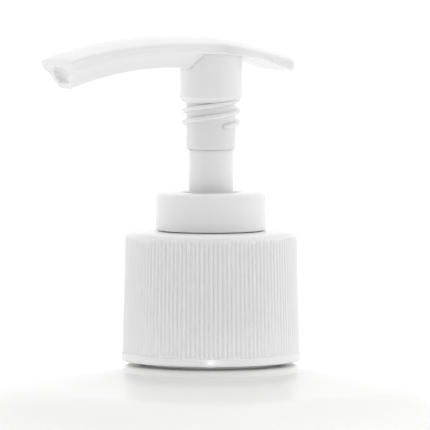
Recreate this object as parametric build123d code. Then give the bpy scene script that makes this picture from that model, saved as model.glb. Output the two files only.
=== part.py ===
from build123d import *

import math
import os

# A round one-litre shampoo bottle with a lock-down lotion pump. Millimetres, +Z up.
# Origin: centre of the bottle's base, on the surface it stands on. The nozzle points to -X.

# Bottle
bottle_radius = 41.5
bottle_wall = 1.1
base_thickness = 1.2
heel_round = 5.0
foot_ring_inner = 33.0
push_up_edge = 29.5
push_up_rise = 3.4
push_up_crown = 1.1
shoulder_height = 200.0  # foot of the neck pedestal
shoulder_slope = 7.7  # degrees
shoulder_round = 8.0
panel_depth = 0.35
panel_bottom = 20.0
panel_top_gap = 26.0  # from the pedestal's foot down to the label panel
panel_step = 1.0

# Bottle neck, a 28 mm screw finish
neck_radius = 12.6
neck_wall = 1.85
pedestal_step = 0.05  # beyond the closure's foot, above its flange
pedestal_draft = 0.55
pedestal_height = 1.4
neck_height = 18.0
neck_pitch = 25.4 / 6
neck_turns = 1.5
neck_thread_height = 1.15
neck_thread_foot = 2.1
neck_thread_tip = 1.1
neck_thread_drop = 2.5  # from the neck's rim to the middle of the thread's upper end

# Closure
closure_wall = 1.4  # at the top
closure_draft = 0.55
closure_flange_step = 0.2
closure_flange_height = 1.4
closure_lift = 0.5  # gap between the closure and the pedestal
closure_panel = 1.8
closure_edge_round = 0.83
closure_bore_gap = 0.3  # round the housing's rim
closure_seat_land = 0.2  # of the housing's flange, left outside the closure's hub
closure_thread_turns = 1.0
closure_flank_gap = 0.12  # between loaded thread flanks
closure_thread_gap = 0.3  # radial, crest to root
closure_seat_gap = 0.12  # over the housing's flange
rib_count = 120
rib_depth = 0.35
rib_top_gap = 0.9

# Gasket and housing
gasket_thickness = 1.2
gasket_inset = 1.15  # inside the neck's bore
gasket_overhang = 0.05
housing_flange = 1.6
rim_outer = 8.3
rim_inner = 7.3
rim_stand = 7.4  # rim above the flange's top
rim_cover = 4.15  # of the rim, covered by the collar
chamber_bore = 6.4
chamber_wall = 1.0
vent_radius = 0.5
vent_drop = 2.1  # below the flange's underside

# Lock collar
collar_radius = 9.95
collar_height = 6.85
collar_gap = 0.15  # above the closure
collar_top_round = 1.0
collar_foot_round = 0.35
collar_floor = 1.2
collar_floor_gap = 0.3  # under the skirt when locked, beyond the stop gap
snap_gap = 0.02
lug_arc = 100.0  # degrees
lug_tip = 0.65
lug_foot = 0.85
lock_angle = 377.0  # degrees, from the first contact of the lock thread to the boss's stop
stop_gap = 0.1  # between the boss and the collar when locked

# Actuator head and its lock thread
boss_step = 1.15  # of the boss beyond the skirt
boss_foot_height = 17.1  # above the collar's top with the pump up
boss_chamfer_in = 0.8
boss_chamfer_up = 0.95
skirt_radius = 4.5
skirt_length = 9.4  # below the boss
skirt_chamfer = 0.4
lock_lead = 4.2
lock_starts = 2
lock_turns = 1.25
lock_start = 86.0  # degrees, where the first ridge begins
lock_thread_height = 0.8
lock_thread_foot = 0.95
lock_thread_tip = 0.6
lock_thread_rise = 4.1  # from the skirt's foot to the middle of the thread's lower end
lock_thread_gap = 0.15  # radial, in the collar

# Saddle plate of the head
nozzle_reach = 32.2
tail_reach = 15.5
plate_width = 12.0
plate_edge = 1.9
plate_crown = 1.5
plate_round = 0.45
plate_corner_tail = 1.6
plate_corner_nozzle = 0.8
saddle_above_boss_foot = 11.35
flat_left = 9.0
flat_right = 1.5
nozzle_bend = 75.0
spout_bend = 60.0  # the spout curves down more than the plate, so it deepens to the nozzle
kink_bend = 12.0
kink_angle = 8.0
tail_bend = 125.0
spout_depth = 5.9  # from the plate's crown to the spout's underside
spout_top_half = 4.5
spout_foot_half = 2.0
spout_round = 0.8
mouth_width = 3.8
mouth_height = 3.1
mouth_floor = 1.3
mouth_round = 0.5

# Stem, valve rod, piston
stem_radius = 4.03
spigot_wall = 0.7
stem_fit = 0.07
spigot_step = 0.73
socket_depth_gap = 0.3  # above the spigot
socket_step_gap = 0.1  # above the stem's shoulder
spigot_length = 7.0
spigot_start = 5.0  # above the skirt's foot
rod_fit = 0.05
rod_bore = 1.5
rod_in_stem = 8.5
rod_flange_radius = 4.0
rod_flange = 1.4
rod_pin_radius = 2.6
rod_pin_length = 3.6
port_radius = 0.7
port_rise = 1.4  # from the floor of the rod's bore to the port's axis
rod_floor = 0.6  # under the rod's bore, above its flange
piston_fit = 0.04
piston_height = 8.4
piston_recess = 2.9
piston_recess_radius = 5.1
piston_bore = 3.0
piston_waist = 5.8
piston_lip = 1.6
piston_top_gap = 0.1
valve_stroke = 1.0
valve_gap = 0.02

# Spring, ball valve, dip tube
spring_wire = 0.9
spring_radius = 4.3  # to the middle of the wire
spring_turns = 7.5
spring_length = 26.0
cage_radius = 6.3
cage_thickness = 1.2
cage_nub_radius = 1.0
cage_nub = 0.4
cage_slot_radius = 0.75
cage_slot_ring = 2.2
cage_slots = 6
ball_radius = 2.0
ball_pocket = 2.5
ball_pocket_depth = 4.0
ball_gap = 0.03
inlet_radius = 1.2
inlet_length = 2.6
tail_radius = 3.7
tail_socket = 10.0
tube_radius = 2.5
tube_wall = 0.8
tube_clearance = 3.0  # above the inside of the base
tube_cut = 35.0  # degrees

# Radii and heights that follow from the sizes above
neck_bore = neck_radius - neck_wall
closure_bore = neck_radius + neck_thread_height + closure_thread_gap
closure_top_radius = closure_bore + closure_wall
closure_foot_radius = closure_top_radius + closure_draft
closure_flange_radius = closure_foot_radius + closure_flange_step
pedestal_radius = closure_foot_radius + pedestal_step
pedestal_top_radius = pedestal_radius - pedestal_draft
gasket_inner = neck_bore - gasket_inset
gasket_outer = neck_radius + gasket_overhang
housing_flange_radius = neck_radius
boss_radius = skirt_radius + boss_step
spigot_radius = stem_radius - spigot_step
stem_bore = spigot_radius - spigot_wall
pedestal_z = shoulder_height + pedestal_height
neck_z = pedestal_z + neck_height
gasket_z = neck_z + gasket_thickness
flange_z = gasket_z + housing_flange
closure_foot_z = pedestal_z + closure_lift
closure_seat_z = flange_z + closure_seat_gap
rim_z = flange_z + rim_stand
collar_foot_z = rim_z - rim_cover
closure_z = collar_foot_z - collar_gap
collar_z = collar_foot_z + collar_height
boss_z = collar_z + boss_foot_height
skirt_z = boss_z - skirt_length
saddle_z = boss_z + saddle_above_boss_foot
collar_bore = skirt_radius + lock_thread_height + lock_thread_gap
collar_floor_z = collar_z - skirt_length - collar_floor_gap
collar_end_z = collar_floor_z - collar_floor
piston_z = collar_end_z - piston_top_gap
piston_foot_z = piston_z - piston_height
hub_z = piston_z - piston_recess
stem_foot_z = hub_z + valve_stroke + valve_gap
seat_z = piston_foot_z - valve_gap
spring_z = seat_z - rod_flange
cage_z = spring_z - spring_length
ledge_z = cage_z - cage_thickness
pocket_z = ledge_z - ball_pocket_depth
inlet_z = pocket_z - (ball_pocket - inlet_radius)
socket_z = inlet_z - inlet_length
tail_z = socket_z - tail_socket
base_inside_z = push_up_rise + push_up_crown + base_thickness
tube_foot_z = base_inside_z + tube_clearance


def turned(corners):
    """A solid turned about Z from (radius, height) corners; a third value rounds that corner."""
    face = make_face(Polyline(*[corner[:2] for corner in corners], close=True))
    for corner in corners:
        if len(corner) == 3:
            face = fillet(face.vertices().sort_by_distance((corner[0], corner[1], 0))[0], corner[2])
    return revolve(Plane.XZ * face, Axis.Z)


def ring(inner, outer, bottom, top):
    """A plain ring about Z."""
    return turned([(inner, bottom), (outer, bottom), (outer, top), (inner, top)])


def rod(radius, bottom, top):
    """A plain cylinder about Z."""
    return Pos(0, 0, (bottom + top) / 2) * Cylinder(radius, top - bottom)


def helical_ridge(root, crest, foot, tip, lead, turns, bottom, start=0):
    """A right-hand thread ridge, foot wide at the root radius and tip wide at the crest radius."""
    sink = math.copysign(0.2, root - crest)
    grow = (foot - tip) / abs(crest - root) * 0.2
    path = Helix(pitch=lead, height=lead * turns, radius=root, center=(0, 0, bottom))
    section = make_face(Polyline(
        (root + sink, bottom - (foot + grow) / 2),
        (crest, bottom - tip / 2),
        (crest, bottom + tip / 2),
        (root + sink, bottom + (foot + grow) / 2),
        close=True,
    ))
    return Rot(0, 0, start) * sweep(Plane.XZ * section, path=path, is_frenet=True)


def bottle():
    """Blow-moulded body with a push-up base, a shallow label panel and a threaded neck."""
    run = math.tan(math.radians(shoulder_slope))
    shoulder_corner = shoulder_height - (bottle_radius - pedestal_radius) * run
    inner_radius = bottle_radius - bottle_wall
    inner_shoulder = shoulder_height - bottle_wall - (inner_radius - pedestal_radius) * run
    panel_top = shoulder_height - panel_top_gap
    panel_radius = bottle_radius - panel_depth
    body = turned([
        (0, push_up_rise + push_up_crown),
        (push_up_edge, push_up_rise, 2.0),
        (foot_ring_inner, 0, 0.8),
        (bottle_radius, 0, heel_round),
        (bottle_radius, panel_bottom),
        (panel_radius, panel_bottom + panel_step),
        (panel_radius, panel_top - panel_step),
        (bottle_radius, panel_top),
        (bottle_radius, shoulder_corner, shoulder_round),
        (pedestal_radius, shoulder_height, 0.4),
        (pedestal_top_radius, pedestal_z, 0.5),
        (neck_radius, pedestal_z, 0.3),
        (neck_radius, neck_z, 0.4),
        (neck_bore, neck_z, 0.3),
        (neck_bore, shoulder_height - bottle_wall + (pedestal_radius - neck_bore) * run, 1.5),
        (inner_radius, inner_shoulder, shoulder_round - bottle_wall),
        (inner_radius, base_thickness, heel_round - bottle_wall),
        (foot_ring_inner + base_thickness / 2, base_thickness, 0.8),
        (push_up_edge + base_thickness / 2, push_up_rise + base_thickness, 2.0),
        (0, base_inside_z),
    ])
    thread_top = neck_z - neck_thread_drop
    thread = helical_ridge(
        neck_radius, neck_radius + neck_thread_height, neck_thread_foot, neck_thread_tip,
        neck_pitch, neck_turns, thread_top - neck_pitch * neck_turns,
    )
    return body + thread


def star(points, outer, inner, height):
    """A flat star with one tip for each rib."""
    step = math.pi / points
    corners = []
    for k in range(2 * points):
        radius = inner if k % 2 else outer
        corners.append((radius * math.cos(k * step), radius * math.sin(k * step)))
    return Pos(0, 0, height) * make_face(Polyline(*corners, close=True))


def rib_grooves(bottom, top, foot_radius, top_radius):
    """Everything that is cut away between the closure's grip ribs."""
    tips = 1 / math.cos(math.pi / rib_count)
    core = loft([
        star(rib_count, foot_radius * tips, foot_radius - rib_depth, bottom),
        star(rib_count, top_radius * tips, top_radius - rib_depth, top),
    ], ruled=True)
    return ring(top_radius - 2 * rib_depth, foot_radius + 2, bottom, top) - core


def closure():
    """Ribbed screw closure: captive on the housing's rim, threaded on to the bottle's neck."""
    hub_bore = rim_outer + closure_bore_gap
    hub_outer = housing_flange_radius - closure_seat_land
    shelf_z = closure_foot_z + closure_flange_height
    body = turned([
        (closure_bore, closure_foot_z, 0.3),
        (closure_flange_radius, closure_foot_z, 0.35),
        (closure_flange_radius, shelf_z, 0.15),
        (closure_foot_radius, shelf_z),
        (closure_top_radius, closure_z, closure_edge_round),
        (hub_bore, closure_z),
        (hub_bore, closure_seat_z),
        (hub_outer, closure_seat_z),
        (hub_outer, closure_z - closure_panel),
        (closure_bore, closure_z - closure_panel, 0.4),
    ])
    ribs_top = closure_z - rib_top_gap
    body -= rib_grooves(shelf_z, ribs_top, closure_foot_radius, closure_top_radius)
    # the closure's ridge runs under the neck's ridge, one flank gap below it
    flank_run = (neck_thread_foot - neck_thread_tip) / 2 * closure_thread_gap / neck_thread_height
    below = (neck_thread_foot + neck_thread_tip) / 2 + closure_flank_gap + flank_run
    thread = helical_ridge(
        closure_bore, closure_bore - neck_thread_height, neck_thread_foot, neck_thread_tip,
        neck_pitch, closure_thread_turns,
        neck_z - neck_thread_drop - below - neck_pitch * closure_thread_turns,
        360 * (neck_turns % 1),
    )
    return body + thread


def neck_gasket():
    """Foam washer between the bottle's rim and the housing's flange."""
    return ring(gasket_inner, gasket_outer, neck_z, gasket_z)


def lock_collar():
    """Collar pressed on to the housing's rim, with two lugs that take the head's lock thread."""
    barrel = rim_inner - snap_gap
    pocket = rim_outer + snap_gap
    body = turned([
        (collar_bore, collar_floor_z),
        (stem_radius + stem_fit, collar_floor_z),
        (stem_radius + stem_fit, collar_end_z),
        (barrel, collar_end_z),
        (barrel, rim_z),
        (pocket, rim_z),
        (pocket, collar_foot_z),
        (collar_radius, collar_foot_z, collar_foot_round),
        (collar_radius, collar_z, collar_top_round),
        (collar_bore, collar_z, 0.4),
    ])
    # each lug runs midway between two ridges of the head's thread, which screws down past it
    locked_rise = boss_z - collar_z - stop_gap - lock_lead * lock_angle / 360
    thread_z = skirt_z + lock_thread_rise - locked_rise
    for k in range(lock_starts):
        body += helical_ridge(
            collar_bore, collar_bore - lock_thread_height, lug_foot, lug_tip, lock_lead,
            lug_arc / 360, thread_z - 1.5 * lock_lead / lock_starts,
            lock_start + k * 360 / lock_starts,
        )
    return body


def pump_housing():
    """Cylinder that hangs in the neck: rim, flange, chamber, ball seat and dip tube socket."""
    chamber_outer = chamber_bore + chamber_wall
    body = turned([
        (rim_inner, rim_z),
        (rim_inner, collar_end_z),
        (chamber_bore, collar_end_z),
        (chamber_bore, ledge_z),
        (ball_pocket, ledge_z),
        (ball_pocket, pocket_z),
        (inlet_radius, inlet_z),
        (inlet_radius, socket_z),
        (tube_radius, socket_z),
        (tube_radius, tail_z),
        (tail_radius, tail_z, 0.5),
        (tail_radius, pocket_z + 1.0, 0.8),
        (chamber_outer, ledge_z - 1.4, 1.0),
        (chamber_outer, gasket_z),
        (housing_flange_radius, gasket_z),
        (housing_flange_radius, flange_z, 0.3),
        (rim_outer, flange_z),
        (rim_outer, rim_z),
    ])
    vent = Cylinder(vent_radius, chamber_outer + 1, align=(Align.CENTER, Align.CENTER, Align.MIN))
    return body - Pos(0, 0, gasket_z - vent_drop) * Rot(-90, 0, 0) * vent


def ball_cage():
    """Slotted disc on the chamber's ledge: it stops the ball below and seats the spring above."""
    disc = rod(cage_radius, ledge_z, cage_z) + rod(cage_nub_radius, ledge_z - cage_nub, ledge_z)
    slot = Cylinder(cage_slot_radius, 3 * cage_thickness)
    return disc - Pos(0, 0, ledge_z) * PolarLocations(cage_slot_ring, cage_slots) * slot


def inlet_ball():
    """Check ball on the 45 degree seat at the foot of the chamber."""
    seat_apex = inlet_z - inlet_radius
    return Pos(0, 0, seat_apex + (ball_radius + ball_gap) * math.sqrt(2)) * Sphere(ball_radius)


def return_spring():
    """Compression spring between the ball cage and the valve rod's flange."""
    foot = cage_z + spring_wire / 2 + 0.02
    rise = spring_length - spring_wire - 0.04
    path = Helix(pitch=rise / spring_turns, height=rise, radius=spring_radius, center=(0, 0, foot))
    wire = Plane(origin=path @ 0, z_dir=path % 0) * Circle(spring_wire / 2)
    return sweep(wire, path=path, is_frenet=True)


def piston_seal():
    """Two-lipped piston that slides in the chamber and, by the valve stroke, on the rod."""
    lip = chamber_bore - piston_fit
    return turned([
        (piston_bore, piston_foot_z),
        (lip - 0.4, piston_foot_z),
        (lip, piston_foot_z + 0.4),
        (lip, piston_foot_z + piston_lip),
        (piston_waist, piston_foot_z + piston_lip + 0.5),
        (piston_waist, piston_z - piston_lip - 0.5),
        (lip, piston_z - piston_lip),
        (lip, piston_z - 0.4),
        (lip - 0.4, piston_z),
        (piston_recess_radius, piston_z),
        (piston_recess_radius, hub_z, 0.4),
        (piston_bore, hub_z),
    ])


def valve_rod():
    """Hollow rod in the stem's foot: its flange closes the piston's bore and holds the spring."""
    neck = stem_bore - rod_fit
    body = turned([
        (0, spring_z - rod_pin_length),
        (rod_pin_radius, spring_z - rod_pin_length, 0.5),
        (rod_pin_radius, spring_z),
        (rod_flange_radius, spring_z),
        (rod_flange_radius, seat_z, 0.3),
        (neck, seat_z),
        (neck, stem_foot_z + rod_in_stem, 0.2),
        (rod_bore, stem_foot_z + rod_in_stem),
        (rod_bore, seat_z + rod_floor),
        (0, seat_z + rod_floor),
    ])
    port_z = seat_z + rod_floor + port_rise
    return body - Pos(0, 0, port_z) * Rot(90, 0, 0) * Cylinder(port_radius, 3 * neck)


def stem():
    """Hollow stem between the valve rod and the head, with a thinner spigot in the head."""
    step_z = skirt_z + spigot_start
    return turned([
        (stem_bore, stem_foot_z),
        (stem_radius, stem_foot_z, 0.25),
        (stem_radius, step_z),
        (spigot_radius, step_z),
        (spigot_radius, step_z + spigot_length, 0.2),
        (stem_bore, step_z + spigot_length),
    ])


def spout_path():
    """The spout's line in side view from the nozzle to the head's axis."""
    turn = math.degrees(math.asin((nozzle_reach - flat_left) / spout_bend))
    spout = JernArc((-flat_left, 0), (-1, 0), spout_bend, turn)
    return Plane.XZ * Wire([spout.edge(), Line((-flat_left, 0), (0, 0)).edge()])


def saddle_path():
    """The crown line of the plate in side view from the nozzle to the tail."""
    turn = math.degrees(math.asin((nozzle_reach - flat_left) / nozzle_bend))
    spout = JernArc((-flat_left, 0), (-1, 0), nozzle_bend, turn)
    flat = Line((-flat_left, 0), (-flat_right, 0))
    kink = JernArc(flat @ 1, (1, 0), kink_bend, -kink_angle)
    rest = (tail_reach - (kink @ 1).X) / math.cos(math.radians(kink_angle)) / tail_bend
    bend = JernArc(kink @ 1, kink % 1, tail_bend, -math.degrees(rest))
    return Plane.XZ * Wire([spout.edge(), flat.edge(), kink.edge(), bend.edge()])


def swept(section, path):
    """A section with its origin on the path's start, carried along the path."""
    start = path.edges().sort_by(Axis.X)[0]
    end = start @ 0 if (start @ 0).X < (start @ 1).X else start @ 1
    way = start % 0 if (start @ 0).X < (start @ 1).X else -(start % 1)
    return sweep(Plane(origin=end, x_dir=(0, 1, 0), z_dir=way) * section, path=path)


def plate_section():
    """Crowned plate with rounded edges."""
    half = plate_width / 2
    top = ThreePointArc((-half, -plate_crown), (0, 0), (half, -plate_crown))
    sides = Polyline(top @ 1, (half, -plate_crown - plate_edge), (-half, -plate_crown - plate_edge), top @ 0)
    face = make_face([top.edge(), *sides.edges()])
    return fillet(face.vertices(), plate_round)


def spout_section():
    """Tapered rib under the plate that holds the product passage."""
    face = make_face(Polyline(
        (-spout_top_half, -plate_crown - 0.6),
        (spout_top_half, -plate_crown - 0.6),
        (spout_foot_half, -spout_depth),
        (-spout_foot_half, -spout_depth),
        close=True,
    ))
    return fillet(face.vertices().sort_by(Axis.Y)[:2], spout_round)


def mouth_section():
    """Product passage."""
    centre = mouth_floor + mouth_height / 2 - spout_depth
    return Pos(0, centre) * RectangleRounded(mouth_width, mouth_height, mouth_round)


def actuator_head():
    """Saddle plate with spout, boss, lock thread and skirt, hollow from the stem to the mouth."""
    plate = swept(plate_section(), saddle_path())
    outline = Pos(-(nozzle_reach - tail_reach) / 2, 0) * Rectangle(nozzle_reach + tail_reach, plate_width)
    ends = outline.vertices().sort_by(Axis.X)
    outline = fillet(ends[2:], plate_corner_tail)
    outline = fillet(outline.vertices().sort_by(Axis.X)[:2], plate_corner_nozzle)
    plate &= extrude(outline, plate_width, both=True)
    spout = swept(spout_section(), spout_path())
    body = Pos(0, 0, saddle_z) * (plate + spout)
    column = turned([
        (0, skirt_z),
        (skirt_radius, skirt_z, skirt_chamfer),
        (skirt_radius, boss_z - boss_chamfer_up),
        (boss_radius - boss_chamfer_in, boss_z - boss_chamfer_up),
        (boss_radius, boss_z),
        (boss_radius, saddle_z - plate_crown - plate_edge / 2),
        (0, saddle_z - plate_crown - plate_edge / 2),
    ])
    body += column
    for k in range(lock_starts):
        body += helical_ridge(
            skirt_radius, skirt_radius + lock_thread_height, lock_thread_foot, lock_thread_tip,
            lock_lead, lock_turns, skirt_z + lock_thread_rise, lock_start + k * 360 / lock_starts,
        )
    step_z = skirt_z + spigot_start
    passage = swept(mouth_section(), spout_path())
    body -= Pos(0, 0, saddle_z) * passage
    body -= rod(mouth_width / 2, skirt_z, saddle_z - spout_depth + mouth_floor + mouth_height)
    body -= rod(spigot_radius + snap_gap, skirt_z, step_z + spigot_length + socket_depth_gap)
    return body - rod(stem_radius + stem_fit, skirt_z - stem_fit, step_z + socket_step_gap)


def dip_tube():
    """Straight tube from the housing's socket to just above the base, cut at an angle."""
    tube = ring(tube_radius - tube_wall, tube_radius, tube_foot_z, socket_z)
    middle_z = tube_foot_z + tube_radius * math.tan(math.radians(tube_cut))
    side = 6 * tube_radius
    below = Box(side, side, side, align=(Align.CENTER, Align.CENTER, Align.MAX))
    return tube - Pos(0, 0, middle_z) * Rot(0, tube_cut, 0) * below


nodes = {
    "bottle": bottle,
    "neck_gasket": neck_gasket,
    "closure": closure,
    "lock_collar": lock_collar,
    "pump_housing": pump_housing,
    "ball_cage": ball_cage,
    "inlet_ball": inlet_ball,
    "return_spring": return_spring,
    "piston_seal": piston_seal,
    "valve_rod": valve_rod,
    "stem": stem,
    "actuator_head": actuator_head,
    "dip_tube": dip_tube,
}

os.makedirs("parts", exist_ok=True)
for name, make in nodes.items():
    export_step(make(), f"parts/{name}.step")
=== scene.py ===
import math

import bmesh
import bpy
import numpy as np
from bpy.props import FloatProperty, FloatVectorProperty, IntProperty, PointerProperty
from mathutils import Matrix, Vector


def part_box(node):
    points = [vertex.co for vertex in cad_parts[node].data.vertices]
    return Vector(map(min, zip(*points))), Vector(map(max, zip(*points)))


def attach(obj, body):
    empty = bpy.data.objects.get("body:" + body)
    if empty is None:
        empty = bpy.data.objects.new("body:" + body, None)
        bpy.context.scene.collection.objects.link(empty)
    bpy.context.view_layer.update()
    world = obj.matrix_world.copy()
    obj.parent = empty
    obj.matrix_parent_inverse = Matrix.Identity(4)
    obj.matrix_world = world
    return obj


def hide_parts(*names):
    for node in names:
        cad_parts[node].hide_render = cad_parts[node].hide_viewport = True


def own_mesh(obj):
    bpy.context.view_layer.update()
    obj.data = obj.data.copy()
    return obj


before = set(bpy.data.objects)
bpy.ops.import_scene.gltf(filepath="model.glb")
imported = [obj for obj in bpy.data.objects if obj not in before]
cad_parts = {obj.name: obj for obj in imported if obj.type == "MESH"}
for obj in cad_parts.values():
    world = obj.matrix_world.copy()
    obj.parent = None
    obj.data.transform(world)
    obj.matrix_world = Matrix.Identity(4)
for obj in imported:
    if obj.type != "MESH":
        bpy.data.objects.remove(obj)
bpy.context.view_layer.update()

bl_info = {
    "name": "Pump bottle builder",
    "version": (1, 0, 0),
    "blender": (4, 5, 0),
    "location": "3D View > Sidebar > Bottle",
    "description": "Builds the finished surfaces of a shampoo bottle with a lock-down lotion pump",
    "category": "Add Mesh",
}

MM = 0.001
MERGE_DISTANCE = 2e-7


def low(node):
    """Lowest corner of a CAD node, in millimetres."""
    return [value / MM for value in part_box(node)[0]]


def high(node):
    """Highest corner of a CAD node, in millimetres."""
    return [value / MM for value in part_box(node)[1]]


# Heights and radii that the frame gives, in millimetres
NECK_Z = high("bottle")[2]
BOTTLE_RADIUS = high("bottle")[0]
CLOSURE_FOOT = low("closure")[2]
CLOSURE_TOP = high("closure")[2]
FLANGE_RADIUS = high("closure")[0]
COLLAR_TOP = high("lock_collar")[2]
COLLAR_END = low("lock_collar")[2]
COLLAR_RADIUS = high("lock_collar")[0]
HEAD_FOOT = low("actuator_head")[2]
HEAD_TOP = high("actuator_head")[2]
NOZZLE_X = low("actuator_head")[0]
TAIL_X = high("actuator_head")[0]
PLATE_HALF = high("actuator_head")[1]
STEM_FOOT = low("stem")[2]
STEM_TOP = high("stem")[2]
STEM_RADIUS = high("stem")[0]
HOUSING_TOP = high("pump_housing")[2]
GASKET_TOP = high("neck_gasket")[2]
SPRING_FOOT = low("return_spring")[2]
SPRING_TOP = high("return_spring")[2]

# Shoulder, neck and the closure's thread
NECK_RADIUS = 12.6
NECK_BORE = 10.75
NECK_PITCH = 25.4 / 6
NECK_TURNS = 1.5
NECK_HEIGHT = 18.0
PEDESTAL_HEIGHT = 1.4
THREAD_HEIGHT = 1.15
THREAD_FOOT = 2.1
THREAD_TIP = 1.1
THREAD_DROP = 2.5
THREAD_CLEARANCE = 0.3
FLANGE_HEIGHT = 1.4
SHOULDER_Z = NECK_Z - NECK_HEIGHT - PEDESTAL_HEIGHT
SKIRT_BORE = NECK_RADIUS + THREAD_HEIGHT + THREAD_CLEARANCE

# Stem, skirt and lock thread
STEM_CLEARANCE = 0.07
STEM_BORE = 2.6
SPIGOT_RADIUS = 3.3
LOCK_LEAD = 4.2
LOCK_TURNS = 1.25
LOCK_START = math.radians(86.0)
LOCK_HEIGHT = 0.8
SKIRT_RADIUS = 4.5

# The head's arm: half widths of the rib under its plate, bend radii of plate and spout, where the
# flat of the saddle starts, and the backward lean of the end face about a depth below the crown
RIB_TOP = 4.5
RIB_FOOT = 2.0
PLATE_BEND = 75.0
SPOUT_BEND = 60.0
SADDLE_FLAT = -9.0
NOZZLE_LEAN = math.radians(6.0)
LEAN_DEPTH = 1.5
HEAD_TILT = math.radians(1.3)


# ---------------------------------------------------------------- settings

class BottleSettings(bpy.types.PropertyGroup):
    columns: IntProperty(
        name="Columns", description="Facets round the bottle", default=288, min=24)
    wall: FloatProperty(
        name="Wall", description="Thickness of the blown wall", default=1.1 * MM, unit="LENGTH")
    heel_round: FloatProperty(
        name="Heel", description="Rounding of the base's edge", default=5.0 * MM, unit="LENGTH")
    shoulder_round: FloatProperty(
        name="Shoulder", description="Rounding of the shoulder", default=8.0 * MM, unit="LENGTH")
    shoulder_slope: FloatProperty(
        name="Slope", description="Fall of the shoulder", default=math.radians(7.7),
        subtype="ANGLE")
    panel_depth: FloatProperty(
        name="Panel", description="Depth of the label panel", default=0.35 * MM, unit="LENGTH")
    colour: FloatVectorProperty(
        name="Colour", description="Body plastic", default=(0.93, 0.93, 0.925), subtype="COLOR")
    roughness: FloatProperty(
        name="Roughness", description="Sheen of the body", default=0.5, subtype="FACTOR")


class ClosureSettings(bpy.types.PropertyGroup):
    ribs: IntProperty(name="Ribs", description="Grip ribs round the closure", default=120, min=8)
    rib_columns: IntProperty(
        name="Rib columns", description="Facets across one rib", default=8, min=4)
    rib_depth: FloatProperty(
        name="Rib depth", description="Depth of the grooves", default=0.35 * MM, unit="LENGTH")
    edge_round: FloatProperty(
        name="Edge", description="Rounding of the top edge", default=1.3 * MM, unit="LENGTH")


class PumpSettings(bpy.types.PropertyGroup):
    columns: IntProperty(
        name="Columns", description="Facets round the collar, stem and boss", default=160, min=24)
    colour: FloatVectorProperty(
        name="Colour", description="Moulded pump plastic", default=(0.93, 0.93, 0.93),
        subtype="COLOR")
    roughness: FloatProperty(
        name="Roughness", description="Gloss of the pump", default=0.24, subtype="FACTOR")
    plate_crown: FloatProperty(
        name="Crown", description="Rise across the head's plate", default=1.5 * MM, unit="LENGTH")
    plate_edge: FloatProperty(
        name="Edge", description="Thickness of the plate's edge", default=1.7 * MM, unit="LENGTH")
    spout_depth: FloatProperty(
        name="Spout", description="From the crown to the spout's underside", default=5.9 * MM,
        unit="LENGTH")
    tail_edge: FloatProperty(
        name="Tail", description="Thickness of the tail's edge", default=1.3 * MM, unit="LENGTH")


class StageSettings(bpy.types.PropertyGroup):
    distance: FloatProperty(
        name="Distance", description="Camera to the pump's axis", default=1.2, unit="LENGTH")
    lens: FloatProperty(name="Lens", description="Focal length in millimetres", default=558.0)
    azimuth: FloatProperty(
        name="Azimuth", description="Camera's turn round the bottle", default=math.radians(-30),
        subtype="ANGLE")
    body_light: FloatProperty(
        name="Body light", description="Power of the beam on the bottle's body, in watts",
        default=30.0)
    floor: FloatVectorProperty(
        name="Floor", description="Floor colour", default=(0.9, 0.9, 0.9), subtype="COLOR")


# ---------------------------------------------------------------- surfaces

def rounded(corners, default_round=0.12, step=9.0, closed=True, parts=None):
    """Outline through (radius, height, round) corners. Each corner becomes the circular arc of its
    rounding, tangent to both sides, with one more point a little way along each side so that the
    shading stays flat there. Each arc has the same number of parts when parts is given."""
    points = [np.array(corner[:2], float) for corner in corners]
    count = len(points)
    out = []
    for k in range(count):
        corner = points[k]
        if not closed and k in (0, count - 1):
            out.append(corner[None])
            continue
        before = points[k - 1] - corner
        after = points[(k + 1) % count] - corner
        reach_a, reach_b = np.hypot(*before), np.hypot(*after)
        u, v = before / reach_a, after / reach_b
        opening = math.acos(float(np.clip(u @ v, -1, 1)))
        turn = math.pi - opening
        radius = corners[k][2] if len(corners[k]) > 2 else default_round
        if radius == 0 or turn < 1e-3:
            out.append(corner[None])
            continue
        tangent = radius / math.tan(opening / 2)
        limit = 0.49 * min(reach_a, reach_b)
        if tangent > limit and len(corners[k]) < 3:
            tangent, radius = limit, limit * math.tan(opening / 2)
        centre = corner + (u + v) / np.hypot(*(u + v)) * radius / math.sin(opening / 2)
        start, end = corner + u * tangent - centre, corner + v * tangent - centre
        pieces = parts or max(2, math.ceil(math.degrees(turn) / step))
        swept = np.linspace(0, 1, pieces + 1)[:, None] * turn
        arc = centre + (start * np.sin(turn - swept) + end * np.sin(swept)) / math.sin(opening)
        guard = min(0.15, 0.2 * max(0.0, min(reach_a, reach_b) - tangent))
        out.append(np.vstack([arc[0] + u * guard, arc, arc[-1] + v * guard]))
    return np.vstack(out)


def turned(outline, columns, start=0.0):
    """Grid of an outline turned about Z: x = r cos a, y = r sin a, z = h, one row for each point."""
    angle = start + np.linspace(0, 2 * np.pi, columns, endpoint=False)
    radius, height = outline[:, :1], outline[:, 1:]
    return np.stack([
        radius * np.cos(angle), radius * np.sin(angle), height + 0 * angle,
    ], axis=2)


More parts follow.
